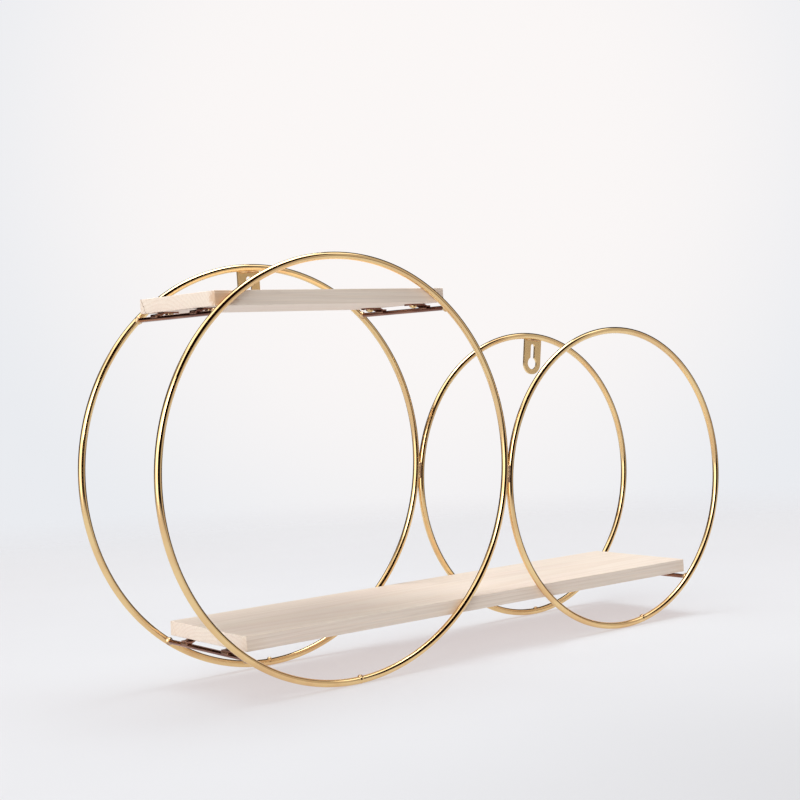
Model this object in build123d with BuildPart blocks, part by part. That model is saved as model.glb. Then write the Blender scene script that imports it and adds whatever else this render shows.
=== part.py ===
from build123d import *
import math
import os

# Double-ring wall shelf: two pairs of round wire rings, one pair large and one small,
# stand side by side on their lowest points and are joined where they touch. Short wire
# crossbars tie each front ring to the ring behind it, and two boards lie between the ring
# planes, screwed from below to small tabs on the crossbars. Keyhole plates hang it up.
#
# Millimetres. +X runs from the large rings to the small ones, +Y to the wall, +Z up.
# The origin is on the standing surface, under the middle of the shelf.

# Rings
wire_diameter = 6.0
large_ring_outside = 350.0
small_ring_outside = 282.0
shelf_depth = 130.0  # front of the front wires to back of the back wires
ring_contact_gap = 0.1  # between the large and the small wire where they are joined

# Crossbars
crossbar_diameter = 4.0

# Boards
board_thickness = 12.0
board_edge_radius = 0.6
board_wire_clearance = 0.5  # from a long edge to the wires in front of or behind it
board_end_inset = 1.2  # from a board's end back to the middle of the crossbar under it
upper_board_drop = 41.8  # top of the large ring to the upper board's underside
lower_board_underside = 41.5

# Screw tabs, bent from strip: a foot on the crossbar, a ramp, and a flat under the board
tab_thickness = 1.5
tab_width = 12.0
tab_rise = 1.5  # from the foot up to the flat
tab_foot_outside = 1.6  # foot past the crossbar's middle, away from the board
tab_foot_inside = 2.4
tab_ramp_length = 3.0
tab_length = 20.0  # crossbar's middle to the rounded end
tab_end_radius = 4.5
tab_hole_distance = 12.5
tab_hole_clearance = 0.7  # hole's diameter over the screw's
tab_station = 31.0  # along Y, either side of the middle

# Pan-head wood screws
screw_diameter = 3.5
screw_length = 10.5  # under the head
screw_point_length = 2.5
screw_head_diameter = 7.0
screw_head_height = 2.3
screw_head_rim = 0.8
screw_recess_width = 1.0
screw_recess_length = 4.0
screw_recess_depth = 1.1
screw_hole_clearance = 0.05
screw_hole_spare_depth = 0.5

# Keyhole hangers on the back rings
hanger_thickness = 2.0
hanger_width = 22.0
hanger_hole_diameter = 12.0
hanger_slot_width = 5.5
hanger_hole_drop = 27.0  # ring's wire centre to the round hole's centre
hanger_slot_drop = 7.5  # ring's wire centre to the slot's closed end
hanger_top_drop = 1.5  # ring's wire centre to the plate's top edge
large_hanger_angle = 91.3  # round its ring, from +X
small_hanger_angle = 83.0

# Weld beads
crossbar_bead_radius = 3.5
crossbar_bead_offset = 0.4  # bead's centre beyond the wire's face
tab_bead_radius = 1.1
tab_bead_length = 8.0
hanger_bead_radius = 1.7
hanger_bead_length = 15.0
joint_bead_offset = 1.4  # bead's centre line from the middle of the wires, front and back
joint_bead_length = 13.0
butt_bead_radius = 2.0
butt_bead_cover = 0.9  # bead's centre below the wire's inner surface
butt_angles = {
    "back_large": -91.0,
    "front_large": -88.8,
    "back_small": -89.3,
    "front_small": -80.2,
}

# Derived sizes and places
wire_radius = wire_diameter / 2
crossbar_radius = crossbar_diameter / 2
large_radius = large_ring_outside / 2 - wire_radius
small_radius = small_ring_outside / 2 - wire_radius
centre_distance = large_radius + small_radius + wire_diameter + ring_contact_gap
centre_rise = large_radius - small_radius
centre_run = math.sqrt(centre_distance**2 - centre_rise**2)
overall_length = large_ring_outside / 2 + centre_run + small_ring_outside / 2
large_x = large_ring_outside / 2 - overall_length / 2
small_x = large_x + centre_run
large_z = large_ring_outside / 2
small_z = small_ring_outside / 2
back_plane = shelf_depth / 2 - wire_radius
front_plane = -back_plane
board_depth = 2 * (back_plane - wire_radius - board_wire_clearance)
upper_board_underside = large_ring_outside - upper_board_drop
crossbar_drop = tab_thickness + tab_rise + crossbar_radius
tab_hole_diameter = screw_diameter + tab_hole_clearance
tab_ramp_end = tab_foot_inside + tab_ramp_length
# the ramp's upper face starts and ends this much earlier, which keeps the strip's thickness even
tab_ramp_shift = tab_thickness * tab_rise / (math.hypot(tab_rise, tab_ramp_length) + tab_ramp_length)
joint_bead_radius = wire_radius - joint_bead_offset
screw_dome_height = screw_head_height - screw_head_rim
screw_dome_radius = (screw_dome_height**2 + (screw_head_diameter / 2) ** 2) / (2 * screw_dome_height)

ring_sizes = {"large": (large_x, large_z, large_radius), "small": (small_x, small_z, small_radius)}
ring_planes = {"back": back_plane, "front": front_plane}


def save(part, name):
    """Write one finished piece to its own file."""
    part.label = name
    export_step(part, f"parts/{name}.step")


def crossbar_place(size, side, board_underside):
    """Middle of the crossbar under a board's end, on the wire's centre line of a ring size."""
    centre_x, centre_z, radius = ring_sizes[size]
    height = board_underside - crossbar_drop
    return centre_x + side * math.sqrt(radius**2 - (height - centre_z) ** 2), height


def ring_frame(size, angle, y):
    """Plane at a point of a ring: its x along the wire, its y away from the ring's centre."""
    centre_x, centre_z, radius = ring_sizes[size]
    along = math.sin(math.radians(angle))
    out = math.cos(math.radians(angle))
    origin = (centre_x + radius * out, y, centre_z + radius * along)
    return Plane(origin=origin, x_dir=(along, 0, -out), z_dir=(0, -1, 0))


def ring_wire(size, y):
    """A ring of round wire, standing upright."""
    centre_x, centre_z, radius = ring_sizes[size]
    with BuildPart() as ring:
        with BuildSketch(Plane.XY.offset(centre_z)):
            with Locations((centre_x + radius, y)):
                Circle(wire_radius)
        revolve(axis=Axis((centre_x, y, centre_z), (0, 1, 0)))
    return ring.part


def bead(plane, radius, length):
    """A run of weld metal with round ends, laid along a plane's x at its origin."""
    with BuildPart(plane) as run:
        Cylinder(radius, length, rotation=(0, 90, 0))
        with Locations((-length / 2, 0), (length / 2, 0)):
            Sphere(radius)
    return run.part


os.makedirs("parts", exist_ok=True)

# The four rings
rings = {}
for place, y in ring_planes.items():
    for size in ring_sizes:
        rings[place, size] = ring_wire(size, y)
        save(rings[place, size], f"{place}_{size}_ring")

# The weld that closes each ring: a small bead left proud on the inside of the wire
for (place, size), ring in rings.items():
    closing_point = ring_frame(size, butt_angles[f"{place}_{size}"], ring_planes[place])
    with BuildPart() as butt_weld:
        with Locations(closing_point.from_local_coords(Vector(0, butt_bead_cover - wire_radius, 0))):
            Sphere(butt_bead_radius)
        add(ring, mode=Mode.SUBTRACT)
    save(butt_weld.part, f"{place}_{size}_ring_butt_weld")

# Weld metal in the two grooves where a large and a small ring touch
joint_angle = math.degrees(math.atan2(small_z - large_z, centre_run))
for place, y in ring_planes.items():
    contact = ring_frame("large", joint_angle, y)
    with BuildPart() as joint_weld:
        for groove in (-1, 1):
            contact_point = Vector(0, wire_radius + ring_contact_gap / 2, groove * joint_bead_offset)
            middle = contact.from_local_coords(contact_point)
            along = Plane(middle, x_dir=contact.x_dir, z_dir=contact.z_dir)
            add(bead(along, joint_bead_radius, joint_bead_length))
        add([rings[place, size] for size in ring_sizes], mode=Mode.SUBTRACT)
    save(joint_weld.part, f"{place}_ring_joint_weld")

# Crossbars with their end welds, and the screw tabs on them
boards = {
    "upper": (upper_board_underside, ("large", "large")),
    "lower": (lower_board_underside, ("large", "small")),
}
for level, (underside, sizes) in boards.items():
    screw_points = []
    end_places = []
    for side_name, side, size in (("left", -1, sizes[0]), ("right", 1, sizes[1])):
        bar_x, bar_z = crossbar_place(size, side, underside)
        pair = [rings["back", size], rings["front", size]]
        inward = -side
        end_places.append(bar_x)

        with BuildPart() as crossbar:
            with BuildSketch(Plane(origin=(bar_x, 0, bar_z), z_dir=(0, 1, 0))):
                Circle(crossbar_radius)
            extrude(amount=back_plane, both=True)
            add(pair, mode=Mode.SUBTRACT)
        save(crossbar.part, f"{level}_{side_name}_crossbar")

        with BuildPart() as crossbar_welds:
            bead_y = back_plane - wire_radius - crossbar_bead_offset
            with Locations((bar_x, -bead_y, bar_z), (bar_x, bead_y, bar_z)):
                Sphere(crossbar_bead_radius)
            add([crossbar.part] + pair, mode=Mode.SUBTRACT)
        save(crossbar_welds.part, f"{level}_{side_name}_crossbar_welds")

        tabs = []
        for place, station in (("back", tab_station), ("front", -tab_station)):
            foot = Plane(
                origin=(bar_x, station, bar_z + crossbar_radius),
                x_dir=(inward, 0, 0),
                z_dir=(0, -inward, 0),
            )
            with BuildPart() as tab:
                with BuildSketch(foot):
                    with BuildLine():
                        Polyline(
                            (-tab_foot_outside, 0),
                            (tab_foot_inside, 0),
                            (tab_ramp_end, tab_rise),
                            (tab_length, tab_rise),
                            (tab_length, tab_rise + tab_thickness),
                            (tab_ramp_end - tab_ramp_shift, tab_rise + tab_thickness),
                            (tab_foot_inside - tab_ramp_shift, tab_thickness),
                            (-tab_foot_outside, tab_thickness),
                            close=True,
                        )
                    make_face()
                extrude(amount=tab_width / 2, both=True)
                upright = tab.edges().filter_by(Axis.Z).sort_by(lambda e: inward * e.center().X)
                fillet(upright[-2:], tab_end_radius)
                hole_x = bar_x + inward * tab_hole_distance
                with BuildSketch(Plane.XY.offset(underside - tab_thickness)):
                    with Locations((hole_x, station)):
                        Circle(tab_hole_diameter / 2)
                extrude(amount=tab_thickness, mode=Mode.SUBTRACT)
            save(tab.part, f"{level}_{side_name}_{place}_tab")
            tabs.append(tab.part)
            screw_points.append((hole_x, station))

        # A bead along each side of a tab's foot, in the groove between it and the crossbar
        with BuildPart() as tab_welds:
            for station in (-tab_station, tab_station):
                for edge in (-tab_foot_outside, tab_foot_outside):
                    groove = (bar_x + edge, station, bar_z + crossbar_radius - tab_bead_radius / 2)
                    add(bead(Plane(groove, x_dir=(0, 1, 0)), tab_bead_radius, tab_bead_length))
            add([crossbar.part] + tabs, mode=Mode.SUBTRACT)
        save(tab_welds.part, f"{level}_{side_name}_tab_welds")

    # The board over the two crossbars, with blind holes for its screws
    board_length = end_places[1] - end_places[0] - 2 * board_end_inset
    board_x = (end_places[0] + end_places[1]) / 2
    seat = Plane.XY.offset(underside)
    screw_depth = screw_length - tab_thickness
    with BuildPart() as board:
        with BuildSketch(seat):
            with Locations((board_x, 0)):
                Rectangle(board_length, board_depth)
        extrude(amount=board_thickness)
        fillet(board.edges(), board_edge_radius)
        with BuildSketch(seat):
            with Locations(*screw_points):
                Circle(screw_diameter / 2 + screw_hole_clearance)
        extrude(amount=screw_depth + screw_hole_spare_depth, mode=Mode.SUBTRACT)
    save(board.part, f"{level}_board")

    # Its screws: heads under the tabs, points up
    with BuildPart() as screws:
        for screw_x, station in screw_points:
            head_seat = Plane(
                origin=(screw_x, station, underside - tab_thickness), x_dir=(1, 0, 0), z_dir=(0, -1, 0)
            )
            crown = (0, -screw_head_height)
            rim = (screw_head_diameter / 2, -screw_head_rim)
            with BuildSketch(head_seat):
                with BuildLine():
                    Polyline(
                        crown,
                        (0, screw_length),
                        (screw_diameter / 2, screw_length - screw_point_length),
                        (screw_diameter / 2, 0),
                        (screw_head_diameter / 2, 0),
                        rim,
                    )
                    RadiusArc(rim, crown, screw_dome_radius)
                make_face()
            revolve(axis=Axis(head_seat.origin, (0, 0, 1)))
        with BuildSketch(Plane.XY.offset(underside - tab_thickness - screw_head_height)):
            with Locations(*screw_points):
                Rectangle(screw_recess_length, screw_recess_width)
                Rectangle(screw_recess_width, screw_recess_length)
        extrude(amount=screw_recess_depth, mode=Mode.SUBTRACT)
    save(screws.part, f"{level}_board_screws")

# Keyhole hangers, flat against the wall plane inside the top of each back ring
hanger_back = back_plane + wire_radius
for size, angle in (("large", large_hanger_angle), ("small", small_hanger_angle)):
    ring = rings["back", size]
    with BuildPart() as hanger:
        with BuildSketch(ring_frame(size, angle, hanger_back)):
            plate_height = hanger_hole_drop - hanger_top_drop
            with Locations((0, -hanger_top_drop - plate_height / 2)):
                Rectangle(hanger_width, plate_height)
            with Locations((0, -hanger_hole_drop)):
                Circle(hanger_width / 2)
                Circle(hanger_hole_diameter / 2, mode=Mode.SUBTRACT)
            slot_round = hanger_slot_drop + hanger_slot_width / 2
            with Locations((0, -slot_round)):
                Circle(hanger_slot_width / 2, mode=Mode.SUBTRACT)
            with Locations((0, -(slot_round + hanger_hole_drop) / 2)):
                Rectangle(hanger_slot_width, hanger_hole_drop - slot_round, mode=Mode.SUBTRACT)
        extrude(amount=hanger_thickness)
        add(ring, mode=Mode.SUBTRACT)
    save(hanger.part, f"{size}_ring_hanger")

    with BuildPart() as hanger_weld:
        wall_side = ring_frame(size, angle, hanger_back)
        corner = wall_side.from_local_coords(Vector(0, -wire_radius, hanger_thickness))
        along = Plane(corner, x_dir=wall_side.x_dir, z_dir=wall_side.z_dir)
        add(bead(along, hanger_bead_radius, hanger_bead_length))
        add([ring, hanger.part], mode=Mode.SUBTRACT)
    save(hanger_weld.part, f"{size}_ring_hanger_weld")
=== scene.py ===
import logging
import math
from dataclasses import dataclass, replace
from enum import Enum

import bmesh
import bpy
from mathutils import Matrix, Vector, noise


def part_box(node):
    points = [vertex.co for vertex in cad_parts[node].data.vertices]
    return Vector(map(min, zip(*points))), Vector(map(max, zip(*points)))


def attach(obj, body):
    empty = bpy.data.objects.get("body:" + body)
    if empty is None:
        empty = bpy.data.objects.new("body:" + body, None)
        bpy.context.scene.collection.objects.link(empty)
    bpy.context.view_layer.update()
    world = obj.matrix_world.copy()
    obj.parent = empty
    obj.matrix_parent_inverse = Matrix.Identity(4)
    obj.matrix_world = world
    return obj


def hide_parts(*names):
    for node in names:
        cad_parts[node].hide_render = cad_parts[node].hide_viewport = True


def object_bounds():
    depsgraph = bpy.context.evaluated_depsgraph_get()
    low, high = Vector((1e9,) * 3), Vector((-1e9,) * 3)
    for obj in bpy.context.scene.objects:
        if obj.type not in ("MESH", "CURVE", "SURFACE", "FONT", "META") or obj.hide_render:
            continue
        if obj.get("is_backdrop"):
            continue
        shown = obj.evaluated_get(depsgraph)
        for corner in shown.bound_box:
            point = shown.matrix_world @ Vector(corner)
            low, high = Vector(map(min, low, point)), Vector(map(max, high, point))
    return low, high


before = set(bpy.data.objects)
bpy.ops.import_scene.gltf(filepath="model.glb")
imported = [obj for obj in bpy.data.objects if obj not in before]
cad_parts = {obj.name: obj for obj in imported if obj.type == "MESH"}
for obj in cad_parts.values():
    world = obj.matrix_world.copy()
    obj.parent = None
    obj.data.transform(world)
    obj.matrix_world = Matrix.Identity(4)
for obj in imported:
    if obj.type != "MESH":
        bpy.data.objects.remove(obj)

# Looks for a double-ring wall shelf: gold-plated wire rings, crossbars and screw tabs, weld
# metal at the joints, pale wooden boards and keyhole hangers, on a plain pale floor. The
# crossbars, the tabs and the tabs' welds are darkened with painted shade, and the floor has a
# painted glow that lifts its shadows and painted shade that dims it in front.
# Metres, in the same frame as the imported parts: +X to the small rings, +Y to the wall, +Z up.

log = logging.getLogger("ring_shelf")

MM = 0.001
BODY = "root"
MERGE_DISTANCE = 0.002 * MM


class Slot(Enum):
    """The record's material slots."""

    GOLD = "gold_plating"
    WELD = "plated_weld"
    SCREW = "screw_plating"
    WOOD = "pale_wood"


class Side(Enum):
    """The ring planes: at the wall and away from it."""

    BACK = "back"
    FRONT = "front"


# ---------------------------------------------------------------------------------------------
# Materials
# ---------------------------------------------------------------------------------------------


class Graph:
    """Short hand for building one material's node tree."""

    def __init__(self, name: str) -> None:
        """Starts a material with only its output node.

        Args:
            name: The material's name.
        """
        self.material = bpy.data.materials.new(name)
        self.material.use_nodes = True
        self._start(self.material.node_tree, "ShaderNodeOutputMaterial")

    @classmethod
    def of_tree(cls, tree: bpy.types.NodeTree, output: str) -> "Graph":
        """Starts from another kind of node tree, such as a world's.

        Args:
            tree: The node tree, which is emptied.
            output: Blender's type of its output node.

        Returns:
            The graph.
        """
        graph = cls.__new__(cls)
        graph._start(tree, output)
        return graph

    def _start(self, tree: bpy.types.NodeTree, output: str) -> None:
        """Empties a node tree and adds its output node.

        Args:
            tree: The node tree.
            output: Blender's type of its output node.
        """
        self.tree = tree
        self.tree.nodes.clear()
        self.output = self.node(output)

    def node(self, kind: str, **settings: object) -> bpy.types.Node:
        """Adds a node.

        Args:
            kind: The node's Blender type.
            **settings: Attributes of the node to set.

        Returns:
            The new node.
        """
        made = self.tree.nodes.new(kind)
        for key, value in settings.items():
            setattr(made, key, value)
        return made

    def feed(self, socket: bpy.types.NodeSocket, value: object) -> None:
        """Links a socket to another one, or sets its constant.

        Args:
            socket: The input to fill.
            value: An output socket, a number or a sequence of numbers.
        """
        if isinstance(value, bpy.types.NodeSocket):
            self.tree.links.new(value, socket)
        else:
            socket.default_value = value

    def object_space(
        self, centre: Vector, scale: tuple[float, float, float], turn_x: float = 0.0
    ) -> bpy.types.NodeSocket:
        """Object coordinates, centred on a point, turned about X and stretched.

        Args:
            centre: The point that becomes the origin, in metres.
            scale: How many units of the pattern one metre holds, along each axis.
            turn_x: Turn about the X axis, in radians.

        Returns:
            The vector output socket.
        """
        place = self.node("ShaderNodeTexCoord").outputs["Object"]
        shift = self.node("ShaderNodeVectorMath", operation="SUBTRACT")
        self.feed(shift.inputs[0], place)
        self.feed(shift.inputs[1], centre)
        turn = self.node("ShaderNodeMapping", vector_type="POINT")
        self.feed(turn.inputs["Vector"], shift.outputs[0])
        self.feed(turn.inputs["Rotation"], (turn_x, 0.0, 0.0))
        stretch = self.node("ShaderNodeVectorMath", operation="MULTIPLY")
        self.feed(stretch.inputs[0], turn.outputs[0])
        self.feed(stretch.inputs[1], scale)
        return stretch.outputs[0]

    def noise(
        self, vector: object, scale: float, detail: float = 2.0, roughness: float = 0.5
    ) -> bpy.types.NodeSocket:
        """A noise texture's value.

        Args:
            vector: The coordinates' socket.
            scale: Features per unit of the coordinates.
            detail: Number of octaves.
            roughness: Strength of the finer octaves.

        Returns:
            The factor output socket.
        """
        made = self.node("ShaderNodeTexNoise", noise_dimensions="3D")
        self.feed(made.inputs["Vector"], vector)
        self.feed(made.inputs["Scale"], scale)
        self.feed(made.inputs["Detail"], detail)
        self.feed(made.inputs["Roughness"], roughness)
        return made.outputs["Fac"]

    def math(self, operation: str, first: object, second: object = 0.0) -> bpy.types.NodeSocket:
        """One arithmetic step.

        Args:
            operation: Blender's name of the operation.
            first: First operand, a socket or a number.
            second: Second operand.

        Returns:
            The value output socket.
        """
        made = self.node("ShaderNodeMath", operation=operation)
        self.feed(made.inputs[0], first)
        self.feed(made.inputs[1], second)
        return made.outputs[0]

    def remap(
        self, value: object, low: float, high: float, to_low: float, to_high: float
    ) -> bpy.types.NodeSocket:
        """A smooth step from one range to another, clamped.

        Args:
            value: The input socket.
            low: Input at which the result is to_low.
            high: Input at which the result is to_high.
            to_low: Result at the lower end.
            to_high: Result at the upper end.

        Returns:
            The value output socket.
        """
        made = self.node("ShaderNodeMapRange", interpolation_type="SMOOTHSTEP", clamp=True)
        for socket, number in zip(made.inputs, (value, low, high, to_low, to_high)):
            self.feed(socket, number)
        return made.outputs[0]

    def mix(
        self, amount: object, first: object, second: object, blend: str = "MIX"
    ) -> bpy.types.NodeSocket:
        """Mixes two colours.

        Args:
            amount: Share of the second colour.
            first: First colour, a socket or three numbers.
            second: Second colour.
            blend: Blender's name of the blend mode.

        Returns:
            The colour output socket.
        """
        made = self.node("ShaderNodeMix", data_type="RGBA", blend_type=blend)
        self.feed(made.inputs["Factor"], amount)
        for socket, colour in zip((made.inputs[6], made.inputs[7]), (first, second)):
            linked = isinstance(colour, bpy.types.NodeSocket)
            self.feed(socket, colour if linked else (*colour, 1.0))
        return made.outputs[2]

    def bump(self, height: object, strength: float, distance: float) -> bpy.types.NodeSocket:
        """Bump from a height.

        Args:
            height: The height's socket.
            strength: Share of the effect.
            distance: Depth of the relief, in metres.

        Returns:
            The normal output socket.
        """
        made = self.node("ShaderNodeBump")
        self.feed(made.inputs["Height"], height)
        self.feed(made.inputs["Strength"], strength)
        self.feed(made.inputs["Distance"], distance)
        return made.outputs["Normal"]


@dataclass(frozen=True)
class Plating:
    """Gold plating over polished steel: a warm tint that drifts, wipe marks and fine texture."""

    name: str
    light: tuple[float, float, float] = (0.91, 0.67, 0.34)
    deep: tuple[float, float, float] = (0.83, 0.55, 0.27)
    roughness: tuple[float, float] = (0.03, 0.09)
    drift_scale: float = 22.0
    grain_scale: float = 900.0
    wipe_share: float = 9.0
    relief: float = 0.008 * MM
    relief_strength: float = 0.35

    def material(self) -> bpy.types.Material:
        """Builds the material.

        Returns:
            The new material.
        """
        graph = Graph(self.name)
        place = graph.object_space(Vector(), (1.0, 1.0, 1.0))
        drift = graph.remap(graph.noise(place, self.drift_scale, 3.0, 0.55), 0.35, 0.68, 0.0, 1.0)
        wipes = graph.noise(place, self.drift_scale * self.wipe_share, 4.0, 0.7)
        grain = graph.noise(place, self.grain_scale, 3.0, 0.6)
        haze = graph.math("MULTIPLY", wipes, grain)
        shader = graph.node("ShaderNodeBsdfPrincipled")
        graph.feed(shader.inputs["Metallic"], 1.0)
        graph.feed(shader.inputs["Base Color"], graph.mix(drift, self.light, self.deep))
        graph.feed(shader.inputs["Roughness"], graph.remap(haze, 0.12, 0.42, *self.roughness))
        graph.feed(shader.inputs["Normal"], graph.bump(grain, self.relief_strength, self.relief))
        graph.feed(graph.output.inputs["Surface"], shader.outputs[0])
        return graph.material


@dataclass(frozen=True)
class PaleWood:
    """Sanded pale wood, its grain along X: growth rings about a distant pith, fibres and pores."""

    name: str
    pith: tuple[float, float, float]
    pith_turn: float
    stain_at: tuple[float, float, float]
    check_at: tuple[float, float, float]
    stain_share: float
    check_share: float
    early: tuple[float, float, float] = (0.89, 0.78, 0.68)
    late: tuple[float, float, float] = (0.81, 0.67, 0.55)
    blush: tuple[float, float, float] = (0.87, 0.735, 0.65)
    stain_tone: tuple[float, float, float] = (0.66, 0.42, 0.25)
    stain_stretch: tuple[float, float, float] = (60.0, 110.0, 130.0)
    check_tone: tuple[float, float, float] = (0.20, 0.10, 0.06)
    check_turn: float = 0.55
    check_half_width: tuple[float, float] = (0.12 * MM, 0.42 * MM)
    check_length: tuple[float, float] = (3.0 * MM, 8.0 * MM)
    check_wander: float = 0.5 * MM
    check_depth: float = 6.0
    ring_spacing: float = 3.2 * MM
    ring_sway: float = 16.0 * MM
    sway_stretch: tuple[float, float, float] = (2.4, 14.0, 14.0)
    fibre_stretch: tuple[float, float, float] = (14.0, 900.0, 900.0)
    pore_stretch: tuple[float, float, float] = (60.0, 2600.0, 2600.0)
    cloud_stretch: tuple[float, float, float] = (7.0, 30.0, 30.0)
    pore_tone: tuple[float, float, float] = (0.55, 0.40, 0.29)
    pore_share: float = 0.22
    pore_depth: float = 0.8
    sheen_level: float = 0.24
    relief: float = 0.06 * MM

    def material(self) -> bpy.types.Material:
        """Builds the material.

        Returns:
            The new material.
        """
        graph = Graph(self.name)
        pith = Vector(self.pith)
        straight = graph.object_space(pith, (1.0, 1.0, 1.0), self.pith_turn)
        slow = graph.object_space(pith, self.sway_stretch, self.pith_turn)
        parts = graph.node("ShaderNodeSeparateXYZ")
        graph.feed(parts.inputs[0], straight)
        squares = [graph.math("MULTIPLY", parts.outputs[i], parts.outputs[i]) for i in (1, 2)]
        radius = graph.math("SQRT", graph.math("ADD", *squares))
        sway = graph.math("MULTIPLY", graph.noise(slow, 1.0, 3.0, 0.5), self.ring_sway)
        ring = graph.math("DIVIDE", graph.math("ADD", radius, sway), self.ring_spacing)
        phase = graph.math("FRACT", ring)
        late_rise = graph.remap(phase, 0.25, 0.90, 0.0, 1.0)
        late_fall = graph.remap(phase, 0.93, 1.0, 1.0, 0.0)
        late_band = graph.math("MULTIPLY", late_rise, late_fall)
        fibre_space = graph.object_space(pith, self.fibre_stretch, self.pith_turn)
        fibres = graph.noise(fibre_space, 1.0, 4.0, 0.65)
        pore_space = graph.object_space(pith, self.pore_stretch, self.pith_turn)
        pores = graph.remap(graph.noise(pore_space, 1.0, 1.0, 0.5), 0.66, 0.74, 0.0, 1.0)
        clouds = graph.noise(graph.object_space(pith, self.cloud_stretch), 1.0, 2.0, 0.5)

        band_drift = graph.remap(clouds, 0.3, 0.7, 0.25, 0.75)
        band_strength = graph.math("MULTIPLY", late_band, band_drift)
        colour = graph.mix(band_strength, self.early, self.late)
        colour = graph.mix(graph.remap(clouds, 0.42, 0.68, 0.0, 0.55), colour, self.blush)
        streak = graph.remap(fibres, 0.30, 0.72, 0.925, 1.03)
        colour = graph.mix(1.0, colour, self._grey(graph, streak), "MULTIPLY")
        colour = graph.mix(graph.math("MULTIPLY", pores, self.pore_share), colour, self.pore_tone)

        colour = graph.mix(self._stain(graph, fibres), colour, self.stain_tone)
        check = self._check(graph)
        check_shade = graph.math("MULTIPLY", check, self.check_share)
        colour = graph.mix(check_shade, colour, self.check_tone)

        height = graph.math("SUBTRACT", fibres, graph.math("MULTIPLY", pores, self.pore_depth))
        cut = graph.math("MULTIPLY", check, self.check_depth * self.check_share)
        height = graph.math("SUBTRACT", height, cut)
        shader = graph.node("ShaderNodeBsdfPrincipled")
        graph.feed(shader.inputs["Base Color"], colour)
        graph.feed(shader.inputs["Roughness"], graph.remap(fibres, 0.2, 0.8, 0.50, 0.68))
        graph.feed(shader.inputs["Specular IOR Level"], self.sheen_level)
        graph.feed(shader.inputs["Normal"], graph.bump(height, 0.4, self.relief))
        graph.feed(graph.output.inputs["Surface"], shader.outputs[0])
        return graph.material

    def _stain(self, graph: Graph, fibres: object) -> bpy.types.NodeSocket:
        """A tan patch in the wood, ragged along its fibres.

        Args:
            graph: The material's nodes.
            fibres: The fibre pattern's socket.

        Returns:
            The mask's value socket.
        """
        place = graph.object_space(Vector(self.stain_at), self.stain_stretch)
        away = graph.node("ShaderNodeVectorMath", operation="LENGTH")
        graph.feed(away.inputs[0], place)
        fray = graph.remap(fibres, 0.3, 0.7, -0.3, 0.3)
        ragged = graph.math("ADD", away.outputs["Value"], fray)
        return graph.remap(ragged, 0.45, 1.15, self.stain_share, 0.0)

    def _check(self, graph: Graph) -> bpy.types.NodeSocket:
        """A drying check: a thin slanting crack in the board's end.

        Args:
            graph: The material's nodes.

        Returns:
            The mask's value socket.
        """
        centre = Vector(self.check_at)
        parts = graph.node("ShaderNodeSeparateXYZ")
        graph.feed(parts.inputs[0], graph.object_space(centre, (1.0, 1.0, 1.0), self.check_turn))
        uneven = graph.noise(graph.object_space(centre, (260.0, 260.0, 260.0)), 1.0, 2.0)
        wander = graph.remap(uneven, 0.3, 0.7, -self.check_wander, self.check_wander)
        across = graph.math("ADD", parts.outputs[1], wander)
        line = graph.remap(graph.math("ABSOLUTE", across), *self.check_half_width, 1.0, 0.0)
        short = graph.remap(parts.outputs[0], *self.check_length, 1.0, 0.0)
        return graph.math("MULTIPLY", line, short)

    @staticmethod
    def _grey(graph: Graph, value: object) -> bpy.types.NodeSocket:
        """A value as a grey colour.

        Args:
            graph: The material's nodes.
            value: The value's socket.

        Returns:
            The colour output socket.
        """
        made = graph.node("ShaderNodeCombineColor")
        for socket in made.inputs:
            graph.feed(socket, value)
        return made.outputs[0]


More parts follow.
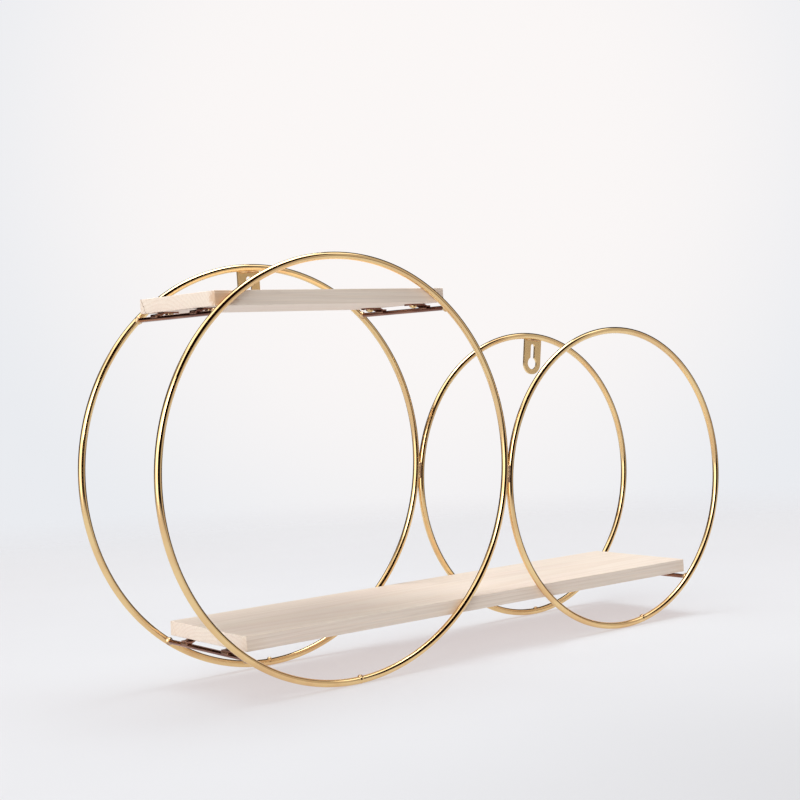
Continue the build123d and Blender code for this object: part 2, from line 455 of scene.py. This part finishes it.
@dataclass(frozen=True)
class StudioFloor:
    """Pale paper that fades out at its rim to leave no horizon; a painted glow lifts its shadows
    and painted shade dims it a little in front.
    """

    name: str = "studio_floor"
    colour: tuple[float, float, float] = (0.270, 0.325, 0.350)
    # Painted light: the floor glows, warmer than its own colour, to lift its shadows as bounce
    # light would.
    glow: tuple[float, float, float] = (0.535, 0.475, 0.475)
    # Painted shade: the floor darkens towards a point in front, as if further from the lamps.
    painted_shade_centre: tuple[float, float, float] = (-0.10, -0.72, 0.0)
    painted_shade_radii: tuple[float, float] = (0.12, 0.62)
    painted_shade_share: float = 0.12
    solid_radius: float = 0.70
    rim_radius: float = 1.6

    def material(self) -> bpy.types.Material:
        """Builds the material.

        Returns:
            The new material.
        """
        graph = Graph(self.name)
        place = graph.object_space(Vector(), (1.0, 1.0, 0.0))
        distance = graph.node("ShaderNodeVectorMath", operation="LENGTH")
        graph.feed(distance.inputs[0], place)
        fade = graph.remap(distance.outputs["Value"], self.solid_radius, self.rim_radius, 0.0, 1.0)
        # Painted shade: darker round a point in front of the shelf.
        away = graph.node("ShaderNodeVectorMath", operation="DISTANCE")
        graph.feed(away.inputs[0], place)
        graph.feed(away.inputs[1], self.painted_shade_centre)
        painted_shade_tone = graph.remap(away.outputs["Value"], *self.painted_shade_radii, 1.0 - self.painted_shade_share, 1.0)
        mottle = graph.remap(graph.noise(place, 3.0, 3.0), 0.3, 0.7, 0.985, 1.0)
        tone = graph.math("MULTIPLY", painted_shade_tone, mottle)
        shader = graph.node("ShaderNodeBsdfPrincipled")
        graph.feed(shader.inputs["Base Color"], self._toned(graph, self.colour, tone))
        # Painted light: the floor's glow, which lifts its shadows.
        graph.feed(shader.inputs["Emission Color"], self._toned(graph, self.glow, tone))
        graph.feed(shader.inputs["Emission Strength"], 1.0)
        graph.feed(shader.inputs["Roughness"], 0.9)
        graph.feed(shader.inputs["Specular IOR Level"], 0.1)
        clear = graph.node("ShaderNodeBsdfTransparent")
        blend = graph.node("ShaderNodeMixShader")
        graph.feed(blend.inputs[0], fade)
        graph.feed(blend.inputs[1], shader.outputs[0])
        graph.feed(blend.inputs[2], clear.outputs[0])
        graph.feed(graph.output.inputs["Surface"], blend.outputs[0])
        return graph.material

    @staticmethod
    def _toned(
        graph: Graph, colour: tuple[float, float, float], tone: object
    ) -> bpy.types.NodeSocket:
        """A colour times a tone.

        Args:
            graph: The material's nodes.
            colour: The colour.
            tone: The tone's socket.

        Returns:
            The colour as a vector output socket.
        """
        made = graph.node("ShaderNodeVectorMath", operation="SCALE")
        graph.feed(made.inputs[0], colour)
        graph.feed(made.inputs["Scale"], tone)
        return made.outputs[0]


# ---------------------------------------------------------------------------------------------
# Meshes
# ---------------------------------------------------------------------------------------------


def put_piece(mesh: bmesh.types.BMesh, name: str, finish: bpy.types.Material) -> bpy.types.Object:
    """Turns a bmesh into a smooth piece with one finish, at the origin.

    Args:
        mesh: The shape, which is freed.
        name: The piece's name.
        finish: Its material.

    Returns:
        The new object, linked to the scene.
    """
    bmesh.ops.recalc_face_normals(mesh, faces=mesh.faces)
    data = bpy.data.meshes.new(name)
    mesh.to_mesh(data)
    mesh.free()
    data.materials.append(finish)
    data.shade_smooth()
    piece = bpy.data.objects.new(name, data)
    bpy.context.scene.collection.objects.link(piece)
    return piece


def stand_in_for(piece: bpy.types.Object, slot: Slot, *nodes: str) -> None:
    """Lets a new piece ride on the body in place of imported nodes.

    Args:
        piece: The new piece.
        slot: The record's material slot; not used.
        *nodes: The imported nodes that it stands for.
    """
    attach(piece, BODY)
    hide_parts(*nodes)
    log.info("%s: %d faces", piece.name, len(piece.data.polygons))


def dress(node: str, finish: bpy.types.Material) -> None:
    """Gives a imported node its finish.

    Args:
        node: The node's name.
        finish: The material for all of its slots.
    """
    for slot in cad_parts[node].material_slots:
        slot.material = finish
    log.info("%s: finish %s", node, finish.name)


def lumpy(mesh: bmesh.types.BMesh, height: float, spacing: float) -> None:
    """Makes a mesh slightly uneven, as metal that has run and set.

    Args:
        mesh: The shape, whose vertices move along their normals.
        height: The most that a vertex moves.
        spacing: Distance between lumps.
    """
    mesh.normal_update()
    for vert in mesh.verts:
        vert.co += vert.normal * (height * noise.noise(vert.co / spacing))


# ---------------------------------------------------------------------------------------------
# Rings, crossbars, tabs and hangers
# ---------------------------------------------------------------------------------------------


@dataclass(frozen=True)
class RingPlace:
    """Where one packed ring stands, and its sizes."""

    centre: Vector
    radius: float
    wire: float

    @classmethod
    def of(cls, node: str) -> "RingPlace":
        """Reads a ring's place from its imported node.

        Args:
            node: The ring's name.

        Returns:
            Its centre, its radius to the wire's centre line, and the wire's radius.
        """
        low, high = (Vector(corner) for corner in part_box(node))
        wire = (high.y - low.y) / 2
        return cls((low + high) / 2, (high.x - low.x) / 2 - wire, wire)

    def outward(self, angle_deg: float) -> Vector:
        """Direction away from the centre at an angle from +X towards +Z."""
        angle = math.radians(angle_deg)
        return Vector((math.cos(angle), 0.0, math.sin(angle)))

    def along(self, angle_deg: float) -> Vector:
        """Direction of the wire at an angle."""
        return self.outward(angle_deg + 90.0)

    def point(self, angle_deg: float, out: float = 0.0, back: float = 0.0) -> Vector:
        """A point near the wire.

        Args:
            angle_deg: Angle round the ring.
            out: Distance from the wire's centre line, away from the ring's centre.
            back: Distance from the ring's plane, towards the wall.

        Returns:
            The point.
        """
        arm = self.outward(angle_deg) * (self.radius + out)
        return self.centre + arm + Vector((0.0, back, 0.0))


@dataclass(frozen=True)
class WeldRun:
    """A straight run of weld metal, laid in overlapping ripples, with round ends."""

    middle: Vector
    way: Vector
    radius: float
    length: float
    ripple_pitch: float = 1.15 * MM
    ripple_share: float = 0.07
    row: float = 0.22 * MM
    least_rows: int = 16
    sides: int = 24

    def add_to(self, mesh: bmesh.types.BMesh) -> None:
        """Adds the run to a mesh, as a ball drawn out along the run.

        Args:
            mesh: The mesh that receives it.
        """
        half = self.length / 2
        reach = half + self.radius
        rows = max(self.least_rows, round(2 * reach / self.row))
        ball = bmesh.ops.create_uvsphere(mesh, u_segments=self.sides, v_segments=rows, radius=1.0)
        turn = self.way.to_track_quat("Z", "Y").to_matrix()
        for vert in ball["verts"]:
            polar = math.acos(max(-1.0, min(1.0, vert.co.z)))
            at = reach * (1.0 - 2.0 * polar / math.pi)
            past = max(0.0, abs(at) - half) / self.radius
            girth = math.sqrt(max(0.0, 1.0 - past * past))
            girth *= 1.0 + self.ripple_share * math.cos(math.tau * at / self.ripple_pitch)
            side = Vector((vert.co.x, vert.co.y, 0.0)).normalized() * (self.radius * girth)
            vert.co = self.middle + turn @ (side + Vector((0.0, 0.0, at)))


@dataclass(frozen=True)
class WeldCollar:
    """Weld metal that flares from a crossbar's end onto a ring's wire."""

    foot: Vector
    way: Vector
    bar: float
    reach: float = 3.2 * MM
    flare: float = 1.4 * MM
    flare_power: float = 2.4
    buried: tuple[tuple[float, float], ...] = (
        (3.3 * MM, 0.7 * MM),
        (2.7 * MM, 1.6 * MM),
        (1.5 * MM, 2.4 * MM),
    )
    steps: int = 12
    sides: int = 36

    def add_to(self, mesh: bmesh.types.BMesh) -> None:
        """Adds the collar to a mesh, its outline spun round the crossbar's axis.

        Args:
            mesh: The mesh that receives it.
        """
        across = self.way.orthogonal().normalized()
        outline = [(0.0, self.reach)]
        for i in range(self.steps + 1):
            down = i / self.steps
            out = self.bar + self.flare * down**self.flare_power
            outline.append((out, self.reach * (1.0 - down)))
        outline += [(out, -depth) for out, depth in self.buried]
        outline.append((0.0, -self.buried[-1][1]))
        verts = [mesh.verts.new(self.foot + across * out + self.way * up) for out, up in outline]
        edges = [mesh.edges.new(pair) for pair in zip(verts, verts[1:])]
        bmesh.ops.spin(
            mesh,
            geom=verts + edges,
            cent=self.foot,
            axis=self.way,
            angle=math.tau,
            steps=self.sides,
            use_merge=True,
        )


@dataclass
class WireRing:
    """A ring of round wire, and the weld that closes it, left proud on the inside."""

    node: str
    weld_angle_deg: float
    sides: int = 40
    steps: int = 400
    weld_span_deg: float = 4.0
    weld_steps: int = 44
    upset: float = 0.15 * MM
    upset_width: float = 0.8 * MM
    undercut: float = 0.06 * MM
    undercut_at: float = 1.7 * MM
    seam: float = 0.02 * MM
    bead_radius: float = 2.0 * MM
    bead_length: float = 1.0 * MM
    bead_sides: int = 32
    bead_cover: float = 0.9 * MM
    lump_height: float = 0.35 * MM
    lump_spacing: float = 1.6 * MM

    def build(self, gold: bpy.types.Material, weld: bpy.types.Material) -> None:
        """Builds the wire and its weld.

        Args:
            gold: Finish of the wire.
            weld: Finish of the weld.
        """
        place = RingPlace.of(self.node)
        wire = put_piece(self._wire(place), f"{self.node}_wire", gold)
        stand_in_for(wire, Slot.GOLD, self.node)
        bead = bmesh.new()
        inside = place.point(self.weld_angle_deg, out=self.bead_cover - place.wire)
        along = place.along(self.weld_angle_deg)
        run = WeldRun(inside, along, self.bead_radius, self.bead_length, sides=self.bead_sides)
        run.add_to(bead)
        lumpy(bead, self.lump_height, self.lump_spacing)
        node = f"{self.node}_butt_weld"
        stand_in_for(put_piece(bead, f"{node}_bead", weld), Slot.WELD, node)

    def _wire(self, place: RingPlace) -> bmesh.types.BMesh:
        """The wire's mesh: its section spun round the ring, finely at the weld.

        Args:
            place: Where the ring stands.

        Returns:
            The mesh.
        """
        mesh = bmesh.new()
        start = self.weld_angle_deg - self.weld_span_deg / 2
        bmesh.ops.create_circle(mesh, segments=self.sides, radius=place.wire)
        bmesh.ops.translate(mesh, vec=place.point(0.0), verts=mesh.verts)
        turn = Matrix.Rotation(math.radians(-start), 3, "Y")
        bmesh.ops.rotate(mesh, cent=place.centre, matrix=turn, verts=mesh.verts)
        section = mesh.verts[:] + mesh.edges[:]
        axis = Vector((0.0, -1.0, 0.0))
        rest = 360.0 - self.weld_span_deg
        for span, steps in ((self.weld_span_deg, self.weld_steps), (rest, self.steps)):
            angle = math.radians(span)
            spun = bmesh.ops.spin(
                mesh, geom=section, cent=place.centre, axis=axis, angle=angle, steps=steps
            )
            section = spun["geom_last"]
        bmesh.ops.remove_doubles(mesh, verts=mesh.verts, dist=self.seam)
        weld = place.outward(self.weld_angle_deg)
        along = place.along(self.weld_angle_deg)
        worked = place.radius * math.radians(self.weld_span_deg) / 2
        for vert in mesh.verts:
            arm = vert.co - place.centre
            at = arm.dot(along)
            if arm.dot(weld) < 0.0 or abs(at) > worked:
                continue
            flat = Vector((arm.x, 0.0, arm.z)).normalized()
            middle = place.centre + flat * place.radius
            past = (abs(at) - self.undercut_at) / self.upset_width
            swell = self.upset * math.exp(-((at / self.upset_width) ** 2))
            swell -= self.undercut * math.exp(-(past**2))
            vert.co += (vert.co - middle).normalized() * swell
        return mesh


@dataclass
class RingJoint:
    """The weld metal in the two grooves where a large and a small ring touch."""

    side: Side
    bead_radius: float = 1.6 * MM
    bead_offset: float = 1.4 * MM
    bead_length: float = 13.0 * MM
    lump_height: float = 0.22 * MM
    lump_spacing: float = 2.4 * MM

    def build(self, weld: bpy.types.Material) -> None:
        """Builds both runs as one piece.

        Args:
            weld: Their finish.
        """
        large = RingPlace.of(f"{self.side.value}_large_ring")
        small = RingPlace.of(f"{self.side.value}_small_ring")
        between = small.centre - large.centre
        angle = math.degrees(math.atan2(between.z, between.x))
        touch = (between.length - large.radius - small.radius) / 2
        mesh = bmesh.new()
        for groove in (-self.bead_offset, self.bead_offset):
            middle = large.point(angle, out=touch, back=groove)
            WeldRun(middle, large.along(angle), self.bead_radius, self.bead_length).add_to(mesh)
        lumpy(mesh, self.lump_height, self.lump_spacing)
        node = f"{self.side.value}_ring_joint_weld"
        stand_in_for(put_piece(mesh, f"{node}_runs", weld), Slot.WELD, node)


@dataclass
class Support:
    """A crossbar with its two end welds, and its two screw tabs with theirs."""

    name: str
    tab_bead_radius: float = 1.1 * MM
    tab_bead_length: float = 8.0 * MM
    tab_foot_half: float = 1.6 * MM
    tab_lump_height: float = 0.14 * MM
    tab_lump_spacing: float = 1.7 * MM
    collar_lump_height: float = 0.30 * MM
    collar_lump_spacing: float = 1.9 * MM

    def build(
        self, shade: bpy.types.Material, weld: bpy.types.Material, shaded_weld: bpy.types.Material
    ) -> None:
        """Builds the welds and dresses the crossbar and the tabs.

        Args:
            shade: Gold plating darkened with painted shade, for the crossbar and the tabs.
            weld: Finish of the crossbar's end welds.
            shaded_weld: Weld plating darkened with painted shade, for the tabs' welds.
        """
        low, high = (Vector(corner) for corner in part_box(f"{self.name}_crossbar"))
        middle = (low + high) / 2
        bar = (high.x - low.x) / 2
        # The crossbar, and below it the tabs, take the plating darkened with painted shade.
        dress(f"{self.name}_crossbar", shade)
        collars = bmesh.new()
        for side, sign in ((Side.FRONT, 1.0), (Side.BACK, -1.0)):
            ring = RingPlace.of(f"{side.value}_large_ring")
            foot = Vector((middle.x, ring.centre.y + sign * ring.wire, middle.z))
            WeldCollar(foot, Vector((0.0, sign, 0.0)), bar).add_to(collars)
        bmesh.ops.remove_doubles(collars, verts=collars.verts, dist=MERGE_DISTANCE)
        lumpy(collars, self.collar_lump_height, self.collar_lump_spacing)
        node = f"{self.name}_crossbar_welds"
        stand_in_for(put_piece(collars, f"{node}_collars", weld), Slot.WELD, node)

        runs = bmesh.new()
        along = Vector((0.0, 1.0, 0.0))
        groove_z = high.z - self.tab_bead_radius / 2
        for side in Side:
            tab = f"{self.name}_{side.value}_tab"
            tab_low, tab_high = (Vector(corner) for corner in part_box(tab))
            SoftPlate(tab, Slot.GOLD).build(shade)
            for edge in (-self.tab_foot_half, self.tab_foot_half):
                groove = Vector((middle.x + edge, (tab_low.y + tab_high.y) / 2, groove_z))
                run = WeldRun(groove, along, self.tab_bead_radius, self.tab_bead_length)
                run.add_to(runs)
        lumpy(runs, self.tab_lump_height, self.tab_lump_spacing)
        node = f"{self.name}_tab_welds"
        # The tab welds take the weld plating darkened with painted shade.
        stand_in_for(put_piece(runs, f"{node}_runs", shaded_weld), Slot.WELD, node)


@dataclass
class SoftPlate:
    """A punched plate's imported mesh, its sharp edges broken."""

    node: str
    slot: Slot
    edge: float = 0.18 * MM
    edge_segments: int = 2
    flat_deg: float = 1.0
    sharp_deg: float = 35.0

    def build(self, finish: bpy.types.Material) -> None:
        """Builds the plate.

        Args:
            finish: Its material.
        """
        mesh = bmesh.new()
        mesh.from_mesh(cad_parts[self.node].data)
        bmesh.ops.remove_doubles(mesh, verts=mesh.verts, dist=MERGE_DISTANCE)
        limit = math.radians(self.flat_deg)
        bmesh.ops.dissolve_limit(mesh, angle_limit=limit, verts=mesh.verts, edges=mesh.edges)
        piece = put_piece(mesh, f"{self.node}_plate", finish)
        bevel = piece.modifiers.new("broken_edges", "BEVEL")
        bevel.width = self.edge
        bevel.segments = self.edge_segments
        bevel.limit_method = "ANGLE"
        bevel.angle_limit = math.radians(self.sharp_deg)
        even = piece.modifiers.new("even_normals", "WEIGHTED_NORMAL")
        even.keep_sharp = True
        stand_in_for(piece, self.slot, self.node)


@dataclass
class Hanger:
    """A keyhole plate and the weld that holds it to its back ring."""

    size: str
    angle_deg: float
    bead_radius: float = 1.7 * MM
    bead_length: float = 15.0 * MM
    lump_height: float = 0.25 * MM
    lump_spacing: float = 2.6 * MM

    def build(self, satin: bpy.types.Material, weld: bpy.types.Material) -> None:
        """Builds the plate and its weld.

        Args:
            satin: Finish of the plate.
            weld: Finish of the weld.
        """
        node = f"{self.size}_ring_hanger"
        SoftPlate(node, Slot.GOLD).build(satin)
        ring = RingPlace.of(f"back_{self.size}_ring")
        plate_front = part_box(node)[0][1]
        mesh = bmesh.new()
        corner = ring.point(self.angle_deg, out=-ring.wire, back=plate_front - ring.centre.y)
        WeldRun(corner, ring.along(self.angle_deg), self.bead_radius, self.bead_length).add_to(mesh)
        lumpy(mesh, self.lump_height, self.lump_spacing)
        stand_in_for(put_piece(mesh, f"{node}_weld_run", weld), Slot.WELD, f"{node}_weld")


# ---------------------------------------------------------------------------------------------
# Studio
# ---------------------------------------------------------------------------------------------


def direction(azimuth_deg: float, elevation_deg: float) -> Vector:
    """A unit direction from the shelf.

    Args:
        azimuth_deg: 0 is the front, -Y, and 90 the right, +X.
        elevation_deg: Above the floor.

    Returns:
        The direction.
    """
    azimuth, elevation = math.radians(azimuth_deg), math.radians(elevation_deg)
    flat = math.cos(elevation)
    return Vector((math.sin(azimuth) * flat, -math.cos(azimuth) * flat, math.sin(elevation)))


class Card(Enum):
    """Panels round the shelf, light and dark, that the plating mirrors.

    Each holds its azimuth, its elevation and its half width in degrees, and its colour. Later
    ones cover earlier ones.
    """

    CEILING = (-39.0, 78.0, 52.0, (1.78, 1.77, 1.75))
    RIGHT_SIDE = (50.0, 6.0, 34.0, (0.58, 0.54, 0.52))
    NEAR_EDGE = (8.0, -24.0, 32.0, (0.12, 0.08, 0.065))
    RIGHT_FLAG = (97.0, 8.0, 27.0, (0.016, 0.007, 0.005))
    BEHIND_BACKDROP = (141.0, 8.0, 63.0, (0.012, 0.005, 0.003))
    BACKDROP = (141.0, 6.0, 17.0, (1.0, 1.0, 1.02))
    LEFT_PANEL = (-72.0, 8.0, 31.0, (2.0, 1.97, 1.9))
    FRONT_GAP = (-4.0, 8.0, 31.0, (0.004, 0.0015, 0.001))
    FRONT_GAP_TOP = (3.0, 39.0, 34.0, (0.006, 0.002, 0.0015))
    LEFT_HIGH_FLAG = (-112.0, 40.0, 13.0, (0.02, 0.009, 0.006))
    BACK_LEFT_FLAG = (-143.0, 14.0, 16.0, (0.03, 0.012, 0.009))


@dataclass(frozen=True)
class Softbox:
    """A square area light that faces the shelf."""

    name: str
    towards: tuple[float, float]
    distance: float
    width: float
    power: float
    colour: tuple[float, float, float] = (1.0, 1.0, 1.0)

    def build(self, target: Vector) -> None:
        """Adds the light.

        Args:
            target: The point that it faces.
        """
        data = bpy.data.lights.new(self.name, "AREA")
        data.shape = "SQUARE"
        data.size = self.width
        data.energy = self.power
        data.color = self.colour
        lamp = bpy.data.objects.new(data.name, data)
        bpy.context.scene.collection.objects.link(lamp)
        towards = direction(*self.towards)
        lamp.location = target + towards * self.distance
        lamp.rotation_euler = towards.to_track_quat("Z", "Y").to_euler()


@dataclass(frozen=True)
class Camera:
    """The camera, in front of the shelf and to its left."""

    place: tuple[float, float, float] = (-0.855, -1.044, 0.259)
    azimuth_deg: float = -38.21
    tilt_down_deg: float = 1.45
    roll_deg: float = -2.76
    lens_mm: float = 67.8

    def build(self) -> None:
        """Adds the camera and makes it the scene's."""
        data = bpy.data.cameras.new("camera")
        data.lens = self.lens_mm
        data.clip_start = 0.01
        data.clip_end = 50.0
        camera = bpy.data.objects.new("camera", data)
        bpy.context.scene.collection.objects.link(camera)
        turn = (
            Matrix.Rotation(math.radians(self.azimuth_deg), 4, "Z")
            @ Matrix.Rotation(math.radians(90.0 - self.tilt_down_deg), 4, "X")
            @ Matrix.Rotation(math.radians(self.roll_deg), 4, "Z")
        )
        camera.matrix_world = Matrix.Translation(self.place) @ turn
        bpy.context.scene.camera = camera


@dataclass
class Studio:
    """Pale floor, pale surroundings, softboxes and the camera."""

    floor_radius: float = 3.0
    floor_drop: float = 0.15 * MM
    floor_sides: int = 96
    backdrop_middle: tuple[float, float, float] = (0.63, 0.77, 0.14)
    backdrop_deg: tuple[float, float] = (4.0, 18.5)
    backdrop_glow: tuple[float, float, float] = (0.962, 0.930, 0.922)
    backdrop_side: tuple[float, float, float] = (0.822, 0.838, 0.872)
    room: tuple[float, float, float] = (0.50, 0.48, 0.47)
    card_edge_deg: float = 4.0
    softboxes: tuple[Softbox, ...] = (
        Softbox("overhead_softbox", (150.0, 82.0), 1.5, 0.8, 12.5),
        Softbox("left_softbox", (-50.0, 20.0), 1.8, 0.6, 4.3),
    )

    def build(self) -> None:
        """Adds everything around the shelf."""
        self._floor()
        self._surroundings()
        low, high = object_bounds()
        for softbox in self.softboxes:
            softbox.build((low + high) / 2)
        Camera().build()
        bpy.context.scene.view_settings.view_transform = "Standard"

    def _floor(self) -> None:
        """A flat disc just under the rings."""
        mesh = bmesh.new()
        bmesh.ops.create_circle(
            mesh, cap_ends=True, segments=self.floor_sides, radius=self.floor_radius
        )
        bmesh.ops.translate(mesh, vec=(0.0, 0.0, -self.floor_drop), verts=mesh.verts)
        floor = put_piece(mesh, "studio_floor", StudioFloor().material())
        floor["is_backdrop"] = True

    def _surroundings(self) -> None:
        """The pale backdrop that the camera sees, and the cards that light the shelf."""
        world = bpy.data.worlds.new("studio")
        world.use_nodes = True
        bpy.context.scene.world = world
        graph = Graph.of_tree(world.node_tree, "ShaderNodeOutputWorld")
        way = graph.node("ShaderNodeTexCoord").outputs["Generated"]

        glow = self._turned_to(graph, way, Vector(self.backdrop_middle), *self.backdrop_deg)
        seen = graph.node("ShaderNodeBackground")
        graph.feed(seen.inputs[0], graph.mix(glow, self.backdrop_side, self.backdrop_glow))

        colour: object = self.room
        for card in Card:
            azimuth, elevation, half_width, tone = card.value
            limits = (half_width - self.card_edge_deg / 2, half_width + self.card_edge_deg / 2)
            mask = self._turned_to(graph, way, direction(azimuth, elevation), *limits)
            colour = graph.mix(mask, colour, tone)
        cast = graph.node("ShaderNodeBackground")
        graph.feed(cast.inputs[0], colour)

        either = graph.node("ShaderNodeMixShader")
        graph.feed(either.inputs[0], graph.node("ShaderNodeLightPath").outputs["Is Camera Ray"])
        graph.feed(either.inputs[1], cast.outputs[0])
        graph.feed(either.inputs[2], seen.outputs[0])
        graph.feed(graph.output.inputs["Surface"], either.outputs[0])

    @staticmethod
    def _turned_to(
        graph: Graph, way: object, centre: Vector, inner: float, outer: float
    ) -> bpy.types.NodeSocket:
        """A round patch on the surroundings.

        Args:
            graph: The world's nodes.
            way: The direction's socket.
            centre: The patch's middle, as a direction.
            inner: Degrees from the middle within which the mask is 1.
            outer: Degrees from the middle past which it is 0.

        Returns:
            The mask's value socket.
        """
        dot = graph.node("ShaderNodeVectorMath", operation="DOT_PRODUCT")
        graph.feed(dot.inputs[0], way)
        graph.feed(dot.inputs[1], centre.normalized())
        limits = (math.cos(math.radians(outer)), math.cos(math.radians(inner)))
        return graph.remap(dot.outputs["Value"], *limits, 0.0, 1.0)


RING_WELDS = {
    "back_large_ring": -91.0,
    "front_large_ring": -88.8,
    "back_small_ring": -89.3,
    "front_small_ring": -80.2,
}
HANGER_ANGLES = {"large": 91.3, "small": 83.0}
STAIN_INSET = 4.0 * MM
CHECK_INSET = 5.5 * MM


def main() -> None:
    """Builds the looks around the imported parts, piece by piece."""
    logging.basicConfig(level=logging.INFO, format="%(name)s: %(message)s")
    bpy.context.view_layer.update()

    gold = Plating("gold_plating").material()
    satin = Plating("hanger_plating", roughness=(0.28, 0.40)).material()
    # Painted shade: the crossbars and tabs get the gold plating made dark and red, for the shade
    # under the boards.
    shade = Plating(
        "shaded_crossbar_plating", light=(0.36, 0.18, 0.12), deep=(0.18, 0.075, 0.055)
    ).material()
    weld_plating = Plating(
        "plated_weld",
        light=(0.74, 0.54, 0.31),
        deep=(0.42, 0.25, 0.15),
        roughness=(0.12, 0.30),
        drift_scale=260.0,
        relief=0.06 * MM,
    )
    weld = weld_plating.material()
    # Painted shade: the tabs' welds get the weld plating made much darker, for the shade under the
    # boards.
    shaded_weld = replace(
        weld_plating, name="crossbar_weld", light=(0.30, 0.16, 0.10), deep=(0.14, 0.06, 0.045)
    ).material()
    screw = Plating("screw_plating", light=(0.82, 0.64, 0.35), deep=(0.70, 0.50, 0.26)).material()
    woods = {}
    for level, pith, turn, marks in (
        ("upper", (-0.14, 0.03, 0.24), 0.10, (0.75, 0.85)),
        ("lower", (0.0, -0.01, -0.05), -0.06, (0.12, 0.15)),
    ):
        low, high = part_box(f"{level}_board")
        middle = (low[2] + high[2]) / 2
        stain = (low[0] + STAIN_INSET, low[1], middle)
        check = (low[0], high[1] - CHECK_INSET, middle)
        woods[level] = PaleWood(f"pale_wood_{level}", pith, turn, stain, check, *marks).material()
    for node, angle in RING_WELDS.items():
        WireRing(node, angle).build(gold, weld)
    for side in Side:
        RingJoint(side).build(weld)
    for size, angle in HANGER_ANGLES.items():
        Hanger(size, angle).build(satin, weld)
    for level, wood in woods.items():
        dress(f"{level}_board", wood)
        dress(f"{level}_board_screws", screw)
        for end in ("left", "right"):
            Support(f"{level}_{end}").build(shade, weld, shaded_weld)

    Studio().build()


if __name__ == "__main__":
    main()
